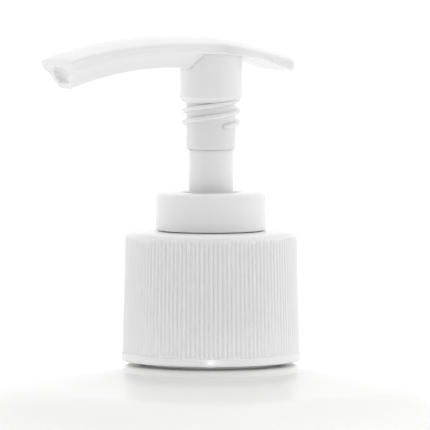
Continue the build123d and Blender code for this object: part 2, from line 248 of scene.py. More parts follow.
def screw_ridge(root, height, foot, tip, lead, turns, bottom, start=0.0, run_out=20.0):
    """Closed ridge along a helix. A rounded trapezoid section is carried up the helix
    z = bottom + lead t, a = start + 2 pi t, and its height falls to nothing over run_out degrees at
    both ends. A negative height grows inwards from the root radius. The section's foot is sunk into
    the wall, and it narrows to end_width of its full width where its height is nothing."""
    sink, sunk_round, root_round = 0.25, 0.02, 0.1
    soft = 0.3 * abs(height)
    rows_per_turn, end_width = 72, 0.35
    section = rounded([
        (-sink, -foot / 2, sunk_round), (0, -foot / 2, root_round), (abs(height), -tip / 2, soft),
        (abs(height), tip / 2, soft), (0, foot / 2, root_round), (-sink, foot / 2, sunk_round),
    ], step=18.0)
    rows = max(12, int(turns * rows_per_turn))
    t = np.linspace(0, turns, rows)
    from_end = np.minimum(t, turns - t) * 360
    ramp = np.clip(from_end / run_out, 0, 1)
    ramp = np.sqrt(np.clip(1 - (1 - ramp) ** 2, 0, 1))
    out = np.where(section[:, 0] > 0, section[:, 0], 0)[None] * ramp[:, None]
    out = out + np.where(section[:, 0] < 0, section[:, 0], 0)[None]
    radius = root + math.copysign(1, height) * out
    taper = end_width + (1 - end_width) * ramp
    z = bottom + lead * t[:, None] + section[None, :, 1] * taper[:, None]
    angle = start + 2 * np.pi * t[:, None]
    grid = np.stack([radius * np.cos(angle), radius * np.sin(angle), z], axis=2)
    return capped(grid)


def capped(grid):
    """A grid with its first and last rows closed by a point at each row's middle."""
    first = np.repeat(grid[:1].mean(axis=1, keepdims=True), grid.shape[1], axis=1)
    last = np.repeat(grid[-1:].mean(axis=1, keepdims=True), grid.shape[1], axis=1)
    return np.concatenate([first, grid, last])


def surface(name, shells, body, material, replaced=None):
    """One piece from closed grids in millimetres. Each entry of shells is (grid, whether its last
    row joins its first). Columns always join round. Points that fall together are merged."""
    coordinates, quads, offset = [], [], 0
    for grid, joined in shells:
        rows, columns = grid.shape[:2]
        index = offset + np.arange(rows * columns).reshape(rows, columns)
        below = index if joined else index[:-1]
        above = np.roll(index, -1, axis=0) if joined else index[1:]
        quads.append(np.stack([
            below, np.roll(below, -1, axis=1), np.roll(above, -1, axis=1), above,
        ], axis=2).reshape(-1, 4))
        coordinates.append(grid.reshape(-1, 3))
        offset += rows * columns
    mesh = bpy.data.meshes.new(name)
    mesh.from_pydata((np.vstack(coordinates) * MM).tolist(), [], np.vstack(quads).tolist())
    shape = bmesh.new()
    shape.from_mesh(mesh)
    bmesh.ops.remove_doubles(shape, verts=shape.verts, dist=MERGE_DISTANCE)
    bmesh.ops.recalc_face_normals(shape, faces=shape.faces)
    shape.to_mesh(mesh)
    shape.free()
    mesh.shade_smooth()
    mesh.materials.append(material)
    piece = bpy.data.objects.new(name, mesh)
    bpy.context.scene.collection.objects.link(piece)
    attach(piece, body)
    if replaced:
        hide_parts(replaced)
    return piece


# ---------------------------------------------------------------- material groups

def socket(group, name, kind, way, default=None):
    """One input or output of a node group."""
    made = group.interface.new_socket(name=name, in_out=way, socket_type=kind)
    if default is not None:
        made.default_value = default
    return made


def link(tree, source, target):
    """Joins two sockets."""
    tree.links.new(source, target)


def add(tree, kind, **values):
    """A node with its properties and inputs set by name; inputs are given as in_NAME."""
    made = tree.nodes.new(kind)
    for key, value in values.items():
        if key.startswith("in_"):
            label = key[3:].replace("_", " ")
            made.inputs[label].default_value = value
        else:
            setattr(made, key, value)
    return made


def maths(tree, operation, first, second=None, clamp=False):
    """A Math node; each input is a socket or a number."""
    made = add(tree, "ShaderNodeMath", operation=operation, use_clamp=clamp)
    for k, value in enumerate([first, second]):
        if value is None:
            continue
        if hasattr(value, "node"):
            link(tree, value, made.inputs[k])
        else:
            made.inputs[k].default_value = value
    return made.outputs[0]


def between(tree, value, from_low, from_high, to_low=0.0, to_high=1.0):
    """A clamped Map Range of a socket."""
    made = add(tree, "ShaderNodeMapRange", clamp=True)
    link(tree, value, made.inputs["Value"])
    for label, number in zip(("From Min", "From Max", "To Min", "To Max"),
                             (from_low, from_high, to_low, to_high)):
        made.inputs[label].default_value = number
    return made.outputs["Result"]


def moulded_group():
    """Skin of a moulded part: faint cloudy colour, uneven gloss and a fine height field, from three
    noises of different sizes on Object coordinates."""
    group = bpy.data.node_groups.new("moulded_skin", "ShaderNodeTree")
    socket(group, "Colour", "NodeSocketColor", "INPUT", (0.8, 0.8, 0.8, 1))
    socket(group, "Cloud", "NodeSocketFloat", "INPUT", 0.03)
    socket(group, "Roughness", "NodeSocketFloat", "INPUT", 0.3)
    socket(group, "Gloss spread", "NodeSocketFloat", "INPUT", 0.08)
    socket(group, "Grain size", "NodeSocketFloat", "INPUT", 2500.0)
    socket(group, "Color", "NodeSocketColor", "OUTPUT")
    socket(group, "Roughness", "NodeSocketFloat", "OUTPUT")
    socket(group, "Height", "NodeSocketFloat", "OUTPUT")
    given = group.nodes.new("NodeGroupInput")
    result = group.nodes.new("NodeGroupOutput")
    place = group.nodes.new("ShaderNodeTexCoord").outputs["Object"]
    cloud = add(group, "ShaderNodeTexNoise", in_Scale=70.0, in_Detail=3.0, in_Roughness=0.5)
    smear = add(group, "ShaderNodeTexNoise", in_Scale=260.0, in_Detail=4.0, in_Roughness=0.6)
    grain = add(group, "ShaderNodeTexNoise", in_Detail=2.0, in_Roughness=0.5)
    for noise in (cloud, smear, grain):
        link(group, place, noise.inputs["Vector"])
    link(group, given.outputs["Grain size"], grain.inputs["Scale"])
    tone = maths(group, "SUBTRACT", cloud.outputs["Fac"], 0.5)
    tone = maths(group, "MULTIPLY", tone, given.outputs["Cloud"])
    tone = maths(group, "ADD", tone, 1.0)
    tinted = add(group, "ShaderNodeVectorMath", operation="SCALE")
    link(group, given.outputs["Colour"], tinted.inputs[0])
    link(group, tone, tinted.inputs["Scale"])
    link(group, tinted.outputs[0], result.inputs["Color"])
    gloss = maths(group, "SUBTRACT", smear.outputs["Fac"], 0.5)
    gloss = maths(group, "MULTIPLY", gloss, given.outputs["Gloss spread"])
    gloss = maths(group, "ADD", gloss, given.outputs["Roughness"], clamp=True)
    link(group, gloss, result.inputs["Roughness"])
    fine = maths(group, "MULTIPLY", grain.outputs["Fac"], 0.35)
    link(group, maths(group, "ADD", fine, smear.outputs["Fac"]), result.inputs["Height"])
    return group


def dust_group():
    """Share of settled dust: stronger where the surface faces up and broken up by two noises."""
    group = bpy.data.node_groups.new("settled_dust", "ShaderNodeTree")
    socket(group, "Amount", "NodeSocketFloat", "INPUT", 0.3)
    socket(group, "Mask", "NodeSocketFloat", "OUTPUT")
    given = group.nodes.new("NodeGroupInput")
    result = group.nodes.new("NodeGroupOutput")
    place = group.nodes.new("ShaderNodeTexCoord").outputs["Object"]
    facing = group.nodes.new("ShaderNodeSeparateXYZ")
    link(group, group.nodes.new("ShaderNodeNewGeometry").outputs["Normal"], facing.inputs[0])
    up = between(group, facing.outputs["Z"], 0.2, 0.95)
    specks = add(group, "ShaderNodeTexNoise", in_Scale=1500.0, in_Detail=2.0)
    drift = add(group, "ShaderNodeTexNoise", in_Scale=120.0, in_Detail=3.0)
    for noise in (specks, drift):
        link(group, place, noise.inputs["Vector"])
    broken = between(group, specks.outputs["Fac"], 0.45, 0.75)
    broken = maths(group, "MULTIPLY", broken, between(group, drift.outputs["Fac"], 0.35, 0.65))
    mask = maths(group, "MULTIPLY", maths(group, "MULTIPLY", broken, up), given.outputs["Amount"])
    link(group, mask, result.inputs["Mask"])
    return group


def seam_group():
    """Parting line of a two-part mould: 1 in a thin band along the plane y = 0, 0 elsewhere."""
    group = bpy.data.node_groups.new("parting_line", "ShaderNodeTree")
    socket(group, "Half width", "NodeSocketFloat", "INPUT", 0.00012)
    socket(group, "Line", "NodeSocketFloat", "OUTPUT")
    given = group.nodes.new("NodeGroupInput")
    result = group.nodes.new("NodeGroupOutput")
    place = group.nodes.new("ShaderNodeTexCoord").outputs["Object"]
    split = group.nodes.new("ShaderNodeSeparateXYZ")
    link(group, place, split.inputs[0])
    away = maths(group, "ABSOLUTE", split.outputs["Y"])
    share = maths(group, "DIVIDE", away, given.outputs["Half width"])
    link(group, maths(group, "SUBTRACT", 1.0, share, clamp=True), result.inputs["Line"])
    return group


def shared_group(name):
    """A node group, built the first time it is asked for."""
    makers = {"moulded_skin": moulded_group, "settled_dust": dust_group, "parting_line": seam_group}
    return bpy.data.node_groups.get(name) or makers[name]()


def place_group(tree, name, **values):
    """A shared group in a material, with its inputs set by name."""
    made = tree.nodes.new("ShaderNodeGroup")
    made.node_tree = shared_group(name)
    for key, value in values.items():
        made.inputs[key.replace("_", " ")].default_value = value
    return made


def new_material(name):
    """An empty node material and its tree, surface shader and bump."""
    material = bpy.data.materials.get(name)
    if material:
        return material, None, None, None
    material = bpy.data.materials.new(name)
    material.use_nodes = True
    tree = material.node_tree
    shader = tree.nodes["Principled BSDF"]
    bump = add(tree, "ShaderNodeBump")
    link(tree, bump.outputs["Normal"], shader.inputs["Normal"])
    return material, tree, shader, bump


# ---------------------------------------------------------------- materials

def dusted(tree, shader, colour, amount):
    """Base Color from a colour socket with a little settled dust over it."""
    dust = place_group(tree, "settled_dust", Amount=amount)
    mix = add(tree, "ShaderNodeMix", data_type="RGBA")
    mix.inputs["B"].default_value = (0.62, 0.61, 0.59, 1)
    link(tree, dust.outputs["Mask"], mix.inputs["Factor"])
    link(tree, colour, mix.inputs["A"])
    link(tree, mix.outputs["Result"], shader.inputs["Base Color"])


def white_moulding(name, colour, roughness, cloud=0.03, seam=0.0, grain=2500.0,
                   bump_height=0.000007, glow=0.25, reach=0.0015):
    """White plastic: faintly cloudy, with light scattered under its skin over reach metres by the
    share glow, and with a hair-fine parting line where seam gives its half width."""
    dust, seam_height = 0.12, 1.2
    material, tree, shader, bump = new_material(name)
    if tree is None:
        return material
    skin = place_group(tree, "moulded_skin", Colour=(*colour, 1), Cloud=cloud, Roughness=roughness,
                       Gloss_spread=0.1, Grain_size=grain)
    dusted(tree, shader, skin.outputs["Color"], dust)
    link(tree, skin.outputs["Roughness"], shader.inputs["Roughness"])
    height = skin.outputs["Height"]
    if seam:
        line = place_group(tree, "parting_line", Half_width=seam)
        raised = maths(tree, "MULTIPLY", line.outputs["Line"], seam_height)
        height = maths(tree, "ADD", height, raised)
    link(tree, height, bump.inputs["Height"])
    bump.inputs["Distance"].default_value = bump_height
    bump.inputs["Strength"].default_value = 0.6
    shader.inputs["IOR"].default_value = 1.49
    shader.inputs["Subsurface Weight"].default_value = glow
    shader.inputs["Subsurface Radius"].default_value = (reach, reach, reach)
    shader.inputs["Subsurface Scale"].default_value = 1.0
    return material


def pump_plastic():
    """Glossy white polypropylene of the closure, collar, stem and head."""
    values = bpy.context.scene.pump_settings
    return white_moulding("pump_plastic", tuple(values.colour), values.roughness, seam=0.00006)


def bottle_plastic():
    """Satin white blown polyethylene with a broad, faint unevenness."""
    values = bpy.context.scene.bottle_settings
    return white_moulding("bottle_plastic", tuple(values.colour), values.roughness, cloud=0.04,
                          seam=0.00015, grain=1400.0, bump_height=0.00003, glow=0.6, reach=0.006)


def natural_plastic():
    """Milky unpigmented plastic of the pump's inner parts."""
    return white_moulding("natural_plastic", (0.70, 0.72, 0.70), 0.38, cloud=0.08, grain=1800.0)


def seal_plastic():
    """Waxy soft plastic of the piston."""
    return white_moulding("seal_plastic", (0.60, 0.64, 0.65), 0.5, cloud=0.08, grain=1200.0)


def foam_white():
    """Closed-cell foam: pale, matt, with small cells in the colour and the height."""
    material, tree, shader, bump = new_material("foam_white")
    if tree is None:
        return material
    place = tree.nodes.new("ShaderNodeTexCoord").outputs["Object"]
    cells = add(tree, "ShaderNodeTexVoronoi", in_Scale=3200.0)
    link(tree, place, cells.inputs["Vector"])
    tone = add(tree, "ShaderNodeMix", data_type="RGBA")
    tone.inputs["A"].default_value = (0.62, 0.62, 0.60, 1)
    tone.inputs["B"].default_value = (0.80, 0.80, 0.78, 1)
    share = between(tree, cells.outputs["Distance"], 0.1, 0.6)
    link(tree, share, tone.inputs["Factor"])
    link(tree, tone.outputs["Result"], shader.inputs["Base Color"])
    link(tree, cells.outputs["Distance"], bump.inputs["Height"])
    bump.inputs["Distance"].default_value = 0.00006
    link(tree, between(tree, cells.outputs["Distance"], 0, 1, 0.7, 0.9), shader.inputs["Roughness"])
    return material


def bright_steel(name, scale):
    """Stainless steel with fine drawing marks."""
    material, tree, shader, bump = new_material(name)
    if tree is None:
        return material
    place = tree.nodes.new("ShaderNodeTexCoord").outputs["Object"]
    marks = add(tree, "ShaderNodeTexNoise", in_Scale=scale, in_Detail=5.0)
    link(tree, place, marks.inputs["Vector"])
    tone = add(tree, "ShaderNodeMix", data_type="RGBA")
    tone.inputs["A"].default_value = (0.50, 0.50, 0.49, 1)
    tone.inputs["B"].default_value = (0.66, 0.66, 0.66, 1)
    link(tree, marks.outputs["Fac"], tone.inputs["Factor"])
    link(tree, tone.outputs["Result"], shader.inputs["Base Color"])
    link(tree, between(tree, marks.outputs["Fac"], 0.3, 0.7, 0.18, 0.34), shader.inputs["Roughness"])
    link(tree, marks.outputs["Fac"], bump.inputs["Height"])
    bump.inputs["Distance"].default_value = 0.00001
    shader.inputs["Metallic"].default_value = 1.0
    return material


def finish_node(node, material):
    """Gives a carried-over CAD node its material."""
    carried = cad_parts[node]
    carried.data.materials.clear()
    carried.data.materials.append(material)


# ---------------------------------------------------------------- shapes

def bottle_outline():
    """Half section of the bottle: up the outside from the middle of the base, over the neck's rim
    and back down the inside, one wall away."""
    values = bpy.context.scene.bottle_settings
    wall = values.wall / MM
    run = math.tan(values.shoulder_slope)
    heel = values.heel_round / MM
    bend = values.shoulder_round / MM
    panel = BOTTLE_RADIUS - values.panel_depth / MM
    # the neck's pedestal, drawn in and rounded over at its top
    pedestal, pedestal_in = 16.05, 15.5
    pedestal_top = SHOULDER_Z + 1.15
    corner = SHOULDER_Z - (BOTTLE_RADIUS - pedestal) * run
    inner = BOTTLE_RADIUS - wall
    inner_corner = SHOULDER_Z - wall - (inner - pedestal) * run
    # the pushed-up base inside its standing ring, and the label panel
    rise, crown, base = 3.4, 1.1, 1.2
    push_up, ring = 29.5, 33.0
    panel_low, panel_high, panel_step = 20.0, SHOULDER_Z - 26.0, 1.0
    neck_inside = SHOULDER_Z - wall + (pedestal - NECK_BORE) * run
    return rounded([
        (0, rise + crown, 0), (push_up, rise, 2.0), (ring, 0, 0.8), (BOTTLE_RADIUS, 0, heel),
        (BOTTLE_RADIUS, panel_low, 1.5), (panel, panel_low + panel_step, 1.5),
        (panel, panel_high - panel_step, 1.5), (BOTTLE_RADIUS, panel_high, 1.5),
        (BOTTLE_RADIUS, corner, bend), (pedestal, SHOULDER_Z, 0.5),
        (pedestal_in, pedestal_top, 1.0), (NECK_RADIUS, pedestal_top, 0.3),
        (NECK_RADIUS, NECK_Z, 0.4), (NECK_BORE, NECK_Z, 0.3), (NECK_BORE, neck_inside, 1.5),
        (inner, inner_corner, bend - wall), (inner, base, heel - wall),
        (ring + base / 2, base, 0.8), (push_up + base / 2, rise + base, 2.0),
        (0, rise + crown + base, 0),
    ], step=6.0, closed=False)


def closure_shell():
    """The closure's section turned about Z. Between its top edge and its foot flange the outer wall
    falls back from each rib's crest by depth times the square of the distance from the crest, so
    the ribs are round and the grooves between them sharp."""
    values = bpy.context.scene.closure_settings
    foot_radius, top_radius = 16.0, 15.45
    shelf = CLOSURE_FOOT + FLANGE_HEIGHT
    hub_bore, hub_outer, seat, panel = 8.6, 12.4, GASKET_TOP + 1.72, 1.8
    # where the grooves run out: above the flange, and below the top over a softer stretch
    foot_gap, foot_fade, top_gap, top_fade = 0.04, 0.3, 1.0, 0.6
    outline = rounded([
        (SKIRT_BORE, CLOSURE_FOOT, 0.3), (FLANGE_RADIUS, CLOSURE_FOOT, 0.4),
        (FLANGE_RADIUS, shelf, 0.15), (foot_radius, shelf, 0.03),
        (top_radius, CLOSURE_TOP, values.edge_round / MM), (hub_bore, CLOSURE_TOP, 0.2),
        (hub_bore, seat), (hub_outer, seat), (hub_outer, CLOSURE_TOP - panel),
        (SKIRT_BORE, CLOSURE_TOP - panel, 0.4),
    ], step=7.0)
    # rows along the longest stretch, which is the outer wall, closer together near its ends
    span = np.hypot(*(np.roll(outline, -1, axis=0) - outline).T)
    span[outline[:, 0] < top_radius - 0.1] = 0
    cut = int(np.argmax(span))
    from_foot, from_top = np.array([0.15, 0.35, 0.7, 1.1]), np.array([0.7, 0.4, 0.15])
    share = np.concatenate([
        from_foot / span[cut], np.linspace(0.1, 0.93, 12), 1 - from_top / span[cut],
    ])[:, None]
    rows = outline[cut] + share * (outline[cut + 1] - outline[cut])
    outline = np.vstack([outline[:cut + 1], rows, outline[cut + 1:]])
    grid = turned(outline, values.ribs * values.rib_columns)
    column = np.arange(values.ribs * values.rib_columns) / values.rib_columns
    groove = (2 * np.abs(column - np.round(column))) ** 2
    height = outline[:, 1]
    window = np.clip((height - shelf - foot_gap) / foot_fade, 0, 1)
    window = window * np.clip((CLOSURE_TOP - top_gap - height) / top_fade, 0, 1)
    window = np.sqrt(np.where(outline[:, 0] > top_radius - 0.4, window, 0))
    depth = window[:, None] * groove[None] * values.rib_depth / MM
    grid[:, :, :2] *= (1 - depth / outline[:, :1])[:, :, None]
    return grid


def crown_line(stations):
    """Side view of the head's crown at given distances along it from the nozzle: the heading turns
    at a constant rate in each stretch (spout bend, flat, soft kink, tail bend), less the arm's
    tilt, and is summed into x and z. Returns x, z, heading and the whole length."""
    kink_bend, tail_bend, samples = 12.0, 125.0, 4001
    flat_to, kink = -1.5, math.radians(8.0)
    spout = math.asin((SADDLE_FLAT - NOZZLE_X) / PLATE_BEND)
    lengths = [PLATE_BEND * spout, flat_to - SADDLE_FLAT, kink_bend * kink]
    tail_heading = kink + 0.06
    lengths.append((TAIL_X - flat_to - kink_bend * math.sin(kink)) / math.cos(tail_heading))
    marks = np.concatenate([[0], np.cumsum(lengths)])
    headings = np.array([spout, 0.0, 0.0, -kink, -kink - lengths[3] / tail_bend]) - HEAD_TILT
    fine = np.linspace(0, marks[-1], samples)
    heading = np.interp(fine, marks, headings)
    step = fine[1] - fine[0]
    x, z = [np.concatenate([[0], np.cumsum((way[1:] + way[:-1]) / 2 * step)])
            for way in (np.cos(heading), np.sin(heading))]
    z -= z.max()
    x += NOZZLE_X
    return (np.interp(stations, fine, x), np.interp(stations, fine, z),
            np.interp(stations, fine, heading), marks[-1])


def saddle_section(sink, crown, edge_round, draft, lift):
    """Cross-section of the head's arm as (across, above the crown line): a crowned plate, sunk below
    the line, with rounded upper edges and sides drawn in below by draft, over a tapered rib that
    ends lift above the spout's full depth, joined by small fillets. One half is worked out and
    mirrored."""
    values = bpy.context.scene.pump_settings
    half = PLATE_HALF
    under_round, rib_top_round, rib_foot_round = 0.35, 0.6, 1.1
    under = -(values.plate_crown + values.plate_edge) / MM
    deep = -values.spout_depth / MM + lift
    across = np.linspace(0, half - 1.3, 12)
    top = [(y, -sink - crown * (y / half) ** 2, 0) for y in across]
    side = rounded([
        *top, (half, -sink - crown, edge_round), (half - draft, under, under_round),
        (RIB_TOP, under, rib_top_round), (RIB_FOOT, deep, rib_foot_round), (0, deep),
    ], closed=False, parts=8)
    other = side[-2:0:-1] * np.array([-1, 1])
    return np.vstack([side, other])


def saddle_shell():
    """The head's arm. The section is carried along the crown line; towards the tail the rib shrinks
    into the plate and the corners are rounded in plan; both ends are bevelled, and at the nozzle
    the end face runs in to a rounded-rectangle mouth and down a short passage."""
    values = bpy.context.scene.pump_settings
    crown, edge = values.plate_crown / MM, values.plate_edge / MM
    depth = values.spout_depth / MM
    length = crown_line(np.array([0.0]))[3]
    bevel, bevel_rows = 0.18, 5
    quarter = np.linspace(0, np.pi / 2, bevel_rows)
    ends = bevel * (1 - np.cos(quarter))
    middle = np.concatenate([
        np.linspace(0.5, 22.0, 26), np.linspace(22.8, 33.5, 24), np.linspace(34.0, length - 3.0, 16),
        np.linspace(length - 2.7, length - 0.6, 10),
    ])
    stations = np.concatenate([ends, middle, length - ends[::-1]])
    x, z, heading, _ = crown_line(stations)
    # towards the nozzle the plate is flatter and lower with a sharper edge, and its end rolls down
    nose_reach, nose_power, nose_roll, nose_roll_reach = 13.0, 1.5, 0.5, 2.5
    body = saddle_section(sink=0.0, crown=crown, edge_round=0.85, draft=0.0, lift=0.0)
    nose = saddle_section(sink=0.45, crown=0.45, edge_round=0.35, draft=0.6, lift=0.35)
    share = np.clip(1 - stations / nose_reach, 0, 1)[:, None, None] ** nose_power
    sections = body + share * (nose - body)
    across, above = sections[:, :, 0], sections[:, :, 1]
    under = -crown - edge
    roll = (nose_roll * np.clip(1 - stations / nose_roll_reach, 0, 1) ** 2)[:, None]
    above = np.where(above > under, above - roll * np.clip((above - under) / 1.5, 0, 1), above)
    # the tail's edge takes its own thickness over a first stretch, and grows a little again over a
    # second one, each given by where it starts and how long it is
    tail_from, tail_over, end_growth, end_from, end_over = 1.0, 5.0, 0.4, 8.5, 5.5
    thicker = (values.tail_edge / MM - edge) * np.clip((x - tail_from) / tail_over, 0, 1)
    thicker = (thicker + end_growth * np.clip((x - end_from) / end_over, 0, 1))[:, None]
    above = np.where(above < -crown, -crown + (above + crown) * (1 + thicker / edge), above)
    under = under - thicker
    # the spout bends down more than the plate does
    run = np.clip(SADDLE_FLAT - x, 0, None)
    deeper = sagitta(SPOUT_BEND, run) - sagitta(PLATE_BEND, run)
    stretch = 1 + deeper[:, None] / (depth + under)
    above = np.where(above < under, under + (above - under) * stretch, above)
    # the rib fades out inside the boss, behind its axis
    fade_reach = 2.5
    fade = np.clip(1 - x / fade_reach, 0, 1)[:, None]
    above = np.where(above < under, under + (above - under) * fade, above)
    # plan corners of the tail
    corner = 1.6
    into = np.clip(corner - (length - stations), 0, corner)
    narrowed = PLATE_HALF - (corner - np.sqrt(corner ** 2 - into ** 2))
    across = across * (narrowed / PLATE_HALF)[:, None]
    # the tail's end rolls over
    tail_roll, roll_share = 1.0, 0.6
    into = np.clip(tail_roll - (length - stations), 0, tail_roll)
    drop = (tail_roll - np.sqrt(tail_roll ** 2 - into ** 2))[:, None] * roll_share
    middle_height = -crown - edge * roll_share
    rolled = above - drop * (above - middle_height) / (-middle_height)
    above = np.where(above > middle_height, rolled, above)
    # bevel at both ends: the section shrinks about its middle
    shrink = np.zeros(len(stations))
    shrink[:bevel_rows] = bevel * (1 - np.sin(quarter))
    shrink[-bevel_rows:] = shrink[:bevel_rows][::-1]
    nozzle_half = np.arange(len(stations)) < len(stations) / 2
    centre = np.where(nozzle_half, -depth / 2, -(crown + edge) / 2)[:, None]
    across = across * (1 - shrink / PLATE_HALF)[:, None]
    above = centre + (above - centre) * (1 - shrink[:, None] / np.abs(centre))
    grid = carried(across, above, x, z, heading)
    grid[:, :, 0] -= leaning(above, stations, reach=12.0)
    lip = mouth_rows(np.stack([across[0], above[0]], axis=1), depth + float(deeper[0]))
    face = [grid[0] + share * (lip[-1] - grid[0]) for share in (0.92, 0.6, 0.3, 0.04)]
    last = np.repeat(grid[-1:].mean(axis=1, keepdims=True), grid.shape[1], axis=1)
    tail = [grid[-1] + share * (last[0] - grid[-1]) for share in (0.04, 0.5)]
    return np.concatenate([lip, face, grid, tail, last])


def sagitta(radius, run):
    """How far an arc of that radius has fallen away at a distance along its tangent."""
    return radius - np.sqrt(radius ** 2 - run ** 2)


def leaning(above, stations, reach):
    """Shift along X that leans the end face back below, fading over reach from the nozzle."""
    return (above + LEAN_DEPTH) * (math.tan(NOZZLE_LEAN) * np.clip(1 - stations / reach, 0, 1)[:, None])


def carried(across, above, x, z, heading):
    """Places (across, above) sections square to the crown line at x, z with that heading."""
    return np.stack([
        x[:, None] - above * np.sin(heading)[:, None],
        across,
        HEAD_TOP + z[:, None] + above * np.cos(heading)[:, None],
    ], axis=2)


def mouth_rows(section, depth):
    """Rows from the deep end of the passage out to the end face. The mouth is the rounded rectangle
    |y / a| to a power plus |z / b| to that power = 1, read at each section point's own angle. Each
    row has its distance into the passage and how much its half width and half height grow."""
    half_width, half_height, floor, power = 2.3, 1.4, 1.6, 6
    centre = floor + half_height - depth
    angle = np.arctan2((section[:, 1] - centre) / half_height, section[:, 0] / half_width)
    reach = (np.abs(np.cos(angle)) ** power + np.abs(np.sin(angle)) ** power) ** (-1 / power)
    mouth = np.stack([
        half_width * reach * np.cos(angle), half_height * reach * np.sin(angle),
    ], axis=1)
    into = np.array([1.1, 1.05, 0.9, 0.6, 0.35, 0.12, 0.0])
    grow = np.array([-0.7, -0.35, -0.12, -0.03, 0.0, 0.07, 0.22])
    x, z, heading, _ = crown_line(into)
    across = mouth[None, :, 0] * (1 + grow[:, None] / half_width)
    above = centre + mouth[None, :, 1] * (1 + grow[:, None] / half_height)
    rows = carried(across, above, x, z, heading)
    rows[:, :, 0] -= leaning(above, into, reach=6.0)
    end = np.repeat(rows[:1].mean(axis=1, keepdims=True), rows.shape[1], axis=1)
    return np.concatenate([end, rows])


def boss_outline():
    """Section of the boss and skirt: bore, skirt foot, root of the lock thread, chamfer, boss, and
    a flare into the head's plate, inside which it ends."""
    boss, boss_foot = 5.65, HEAD_FOOT + 9.4
    chamfer_in, chamfer_up = 0.8, 0.95
    flare, flare_height = 0.2, 1.0
    bore, socket_bore, step = STEM_RADIUS + STEM_CLEARANCE, 3.32, HEAD_FOOT + 5.1
    inside, fine = HEAD_TOP - 2.35, 0.05
    return rounded([
        (bore, HEAD_FOOT, 0.1), (SKIRT_RADIUS, HEAD_FOOT, 0.42),
        (SKIRT_RADIUS, boss_foot - chamfer_up, 0.15),
        (boss - chamfer_in, boss_foot - chamfer_up, 0.12), (boss, boss_foot, 0.3),
        (boss, inside - flare_height, 0.6), (boss + flare, inside, fine),
        (socket_bore, inside, fine), (socket_bore, step, fine), (bore, step, fine),
    ])


# ---------------------------------------------------------------- operators

class BOTTLE_OT_bottle(bpy.types.Operator):
    """Blown bottle with its neck thread"""
    bl_idname = "bottle.bottle"
    bl_label = "Bottle"

    def execute(self, context):
        values = context.scene.bottle_settings
        thread_foot = NECK_Z - THREAD_DROP - NECK_PITCH * NECK_TURNS
        surface("bottle_body", [
            (turned(bottle_outline(), values.columns), False),
            (screw_ridge(NECK_RADIUS, THREAD_HEIGHT, THREAD_FOOT, THREAD_TIP, NECK_PITCH, NECK_TURNS,
                         thread_foot), False),
        ], "bottle", bottle_plastic(), "bottle")
        return {"FINISHED"}


class BOTTLE_OT_closure(bpy.types.Operator):
    """Ribbed closure with its inner thread"""
    bl_idname = "bottle.closure"
    bl_label = "Closure"

    def execute(self, context):
        below_neck_thread, turns = 1.85, 1.0
        thread_foot = NECK_Z - THREAD_DROP - below_neck_thread - NECK_PITCH
        surface("ribbed_closure", [
            (closure_shell(), True),
            (screw_ridge(SKIRT_BORE, -THREAD_HEIGHT, THREAD_FOOT, THREAD_TIP, NECK_PITCH, turns,
                         thread_foot, math.pi), False),
        ], "closure", pump_plastic(), "closure")
        return {"FINISHED"}


class BOTTLE_OT_collar(bpy.types.Operator):
    """Lock collar with its two lugs"""
    bl_idname = "bottle.collar"
    bl_label = "Lock collar"

    def execute(self, context):
        bore, floor = 5.45, COLLAR_END + 1.2
        foot = COLLAR_TOP - 6.85
        guide = STEM_RADIUS + STEM_CLEARANCE
        barrel, pocket = 7.28, 8.32
        outline = rounded([
            (bore, floor, 0.2), (guide, floor), (guide, COLLAR_END),
            (barrel, COLLAR_END), (barrel, HOUSING_TOP), (pocket, HOUSING_TOP), (pocket, foot),
            (COLLAR_RADIUS, foot, 0.3), (COLLAR_RADIUS, COLLAR_TOP, 1.0), (bore, COLLAR_TOP, 0.4),
        ], step=7.0)
        turns, lug_width, lug_tip = 100 / 360, 0.85, 0.65
        lug_foot = COLLAR_TOP - 3.952
        shells = [(turned(outline, context.scene.pump_settings.columns), True)]
        for start in (0, math.pi):
            lug = screw_ridge(bore, -LOCK_HEIGHT, lug_width, lug_tip, LOCK_LEAD, turns, lug_foot,
                              LOCK_START + start)
            shells.append((lug, False))
        surface("lock_collar_body", shells, "pump_body", pump_plastic(), "lock_collar")
        return {"FINISHED"}


class BOTTLE_OT_stem(bpy.types.Operator):
    """Hollow stem"""
    bl_idname = "bottle.stem"
    bl_label = "Stem"

    def execute(self, context):
        step = HEAD_FOOT + 5.0
        outline = rounded([
            (STEM_BORE, STEM_FOOT, 0.1), (STEM_RADIUS, STEM_FOOT, 0.25), (STEM_RADIUS, step, 0.1),
            (SPIGOT_RADIUS, step, 0.05), (SPIGOT_RADIUS, STEM_TOP, 0.2), (STEM_BORE, STEM_TOP, 0.1),
        ])
        surface("stem_tube", [(turned(outline, context.scene.pump_settings.columns), True)],
                "stem", pump_plastic(), "stem")
        return {"FINISHED"}


class BOTTLE_OT_head(bpy.types.Operator):
    """Saddle-shaped head with spout, boss, skirt and lock thread"""
    bl_idname = "bottle.head"
    bl_label = "Head"

    def execute(self, context):
        ridge_foot, ridge_tip, ridge_start = 0.95, 0.6, HEAD_FOOT + 4.1
        shells = [
            (saddle_shell(), False),
            (turned(boss_outline(), context.scene.pump_settings.columns), True),
        ]
        for start in (0, math.pi):
            ridge = screw_ridge(SKIRT_RADIUS, LOCK_HEIGHT, ridge_foot, ridge_tip, LOCK_LEAD,
                                LOCK_TURNS, ridge_start, LOCK_START + start)
            shells.append((ridge, False))
        surface("saddle_head", shells, "head", pump_plastic(), "actuator_head")
        return {"FINISHED"}


